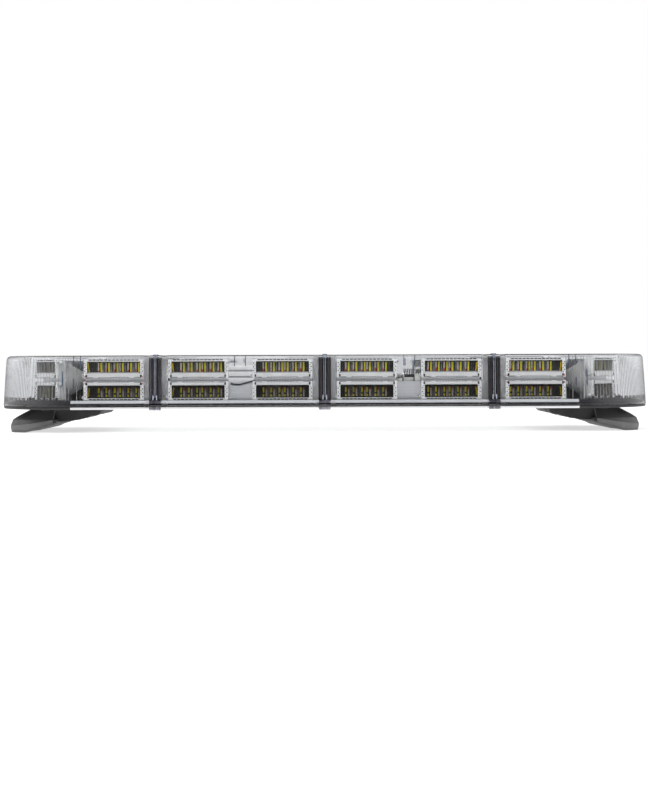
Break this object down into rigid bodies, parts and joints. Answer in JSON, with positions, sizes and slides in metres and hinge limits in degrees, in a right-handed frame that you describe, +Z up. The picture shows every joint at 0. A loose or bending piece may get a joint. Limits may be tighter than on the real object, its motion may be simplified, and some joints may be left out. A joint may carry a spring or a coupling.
{
  "type": "led light bar",
  "caption": "Roof-mounted warning light bar: clear domes over stacked LED light heads on an aluminium base with rounded ends and sliding roof feet.",
  "frame": {"origin": "centre of the bar in plan, on the surface that the feet stand on", "axes": "+X along the bar, -Y towards the front of the vehicle, +Z up"},
  "size_m": [1.2192, 0.3084, 0.1419],
  "materials": {
    "base_aluminium": "extruded, mill finish",
    "tray_black": "moulded, satin",
    "zinc_steel": "zinc plated",
    "lens_clear": "clear polycarbonate, polished",
    "gasket_rubber": "matte",
    "clip_clear": "clear polycarbonate",
    "bulkhead_smoked": "smoked, satin",
    "rail_aluminium": "bent sheet, brushed",
    "pod_grey": "moulded, satin",
    "frame_white": "moulded, glossy",
    "optic_clear": "clear acrylic",
    "board_black": "solder mask",
    "emitter_amber": "amber LED strip",
    "emitter_pale": "pale LED strip",
    "driver_white": "powder coated",
    "pcb_green": "solder mask",
    "component_black": "moulded",
    "wire_black": "insulation, satin",
    "plug_white": "nylon",
    "fitting_black": "nylon",
    "foot_casting": "die cast, black coat",
    "foot_cover_grey": "moulded, satin",
    "foot_rubber": "matte"
  },
  "bodies": {
    "bar": {"amber_emitters": "emitter_amber", "base_extrusion": "base_aluminium", "breather_vents": "fitting_black", "bulkhead_centre": "bulkhead_smoked", "bulkhead_left": "bulkhead_smoked", "bulkhead_right": "bulkhead_smoked", "cable_gland": "fitting_black", "control_board": "pcb_green", "control_components": "component_black", "corner_bracket_left": "rail_aluminium", "corner_bracket_right": "rail_aluminium", "dome_clips": "clip_clear", "dome_end_left": "lens_clear", "dome_end_right": "lens_clear", "dome_gasket": "gasket_rubber", "dome_mid_left": "lens_clear", "dome_mid_right": "lens_clear", "driver_housing": "driver_white", "end_tray_left": "tray_black", "end_tray_right": "tray_black", "gland_nut": "fitting_black", "harness_plugs": "plug_white", "head_screws": "zinc_steel", "heat_sinks": "rail_aluminium", "led_boards_corner": "board_black", "led_boards_front": "board_black", "led_boards_rear": "board_black", "light_frame_corner_1": "frame_white", "light_frame_corner_2": "frame_white", "light_frame_corner_3": "frame_white", "light_frame_corner_4": "frame_white", "light_frame_front_1": "frame_white", "light_frame_front_2": "frame_white", "light_frame_front_3": "frame_white", "light_frame_front_4": "frame_white", "light_frame_front_5": "frame_white", "light_frame_front_6": "frame_white", "light_frame_rear_1": "frame_white", "light_frame_rear_2": "frame_white", "light_frame_rear_3": "frame_white", "light_frame_rear_4": "frame_white", "light_frame_rear_5": "frame_white", "light_frame_rear_6": "frame_white", "optics_corner": "optic_clear", "optics_front": "optic_clear", "optics_rear": "optic_clear", "pale_emitters": "emitter_pale", "pod_covers": "pod_grey", "rail_front": "rail_aluminium", "rail_rear": "rail_aluminium", "tray_screws": "zinc_steel", "wiring_harness": "wire_black"},
    "left_foot": {"foot_bolts_left": "zinc_steel", "foot_bracket_left": "foot_casting", "foot_cover_left": "foot_cover_grey", "foot_pad_left": "foot_rubber"},
    "right_foot": {"foot_bolts_right": "zinc_steel", "foot_bracket_right": "foot_casting", "foot_cover_right": "foot_cover_grey", "foot_pad_right": "foot_rubber"}
  },
  "joints": [
    {"name": "left_foot_slide", "type": "slide", "parent": "bar", "child": "left_foot", "axis": [1, 0, 0], "range_m": [0, 0.25]},
    {"name": "right_foot_slide", "type": "slide", "parent": "bar", "child": "right_foot", "axis": [-1, 0, 0], "range_m": [0, 0.25]}
  ]
}
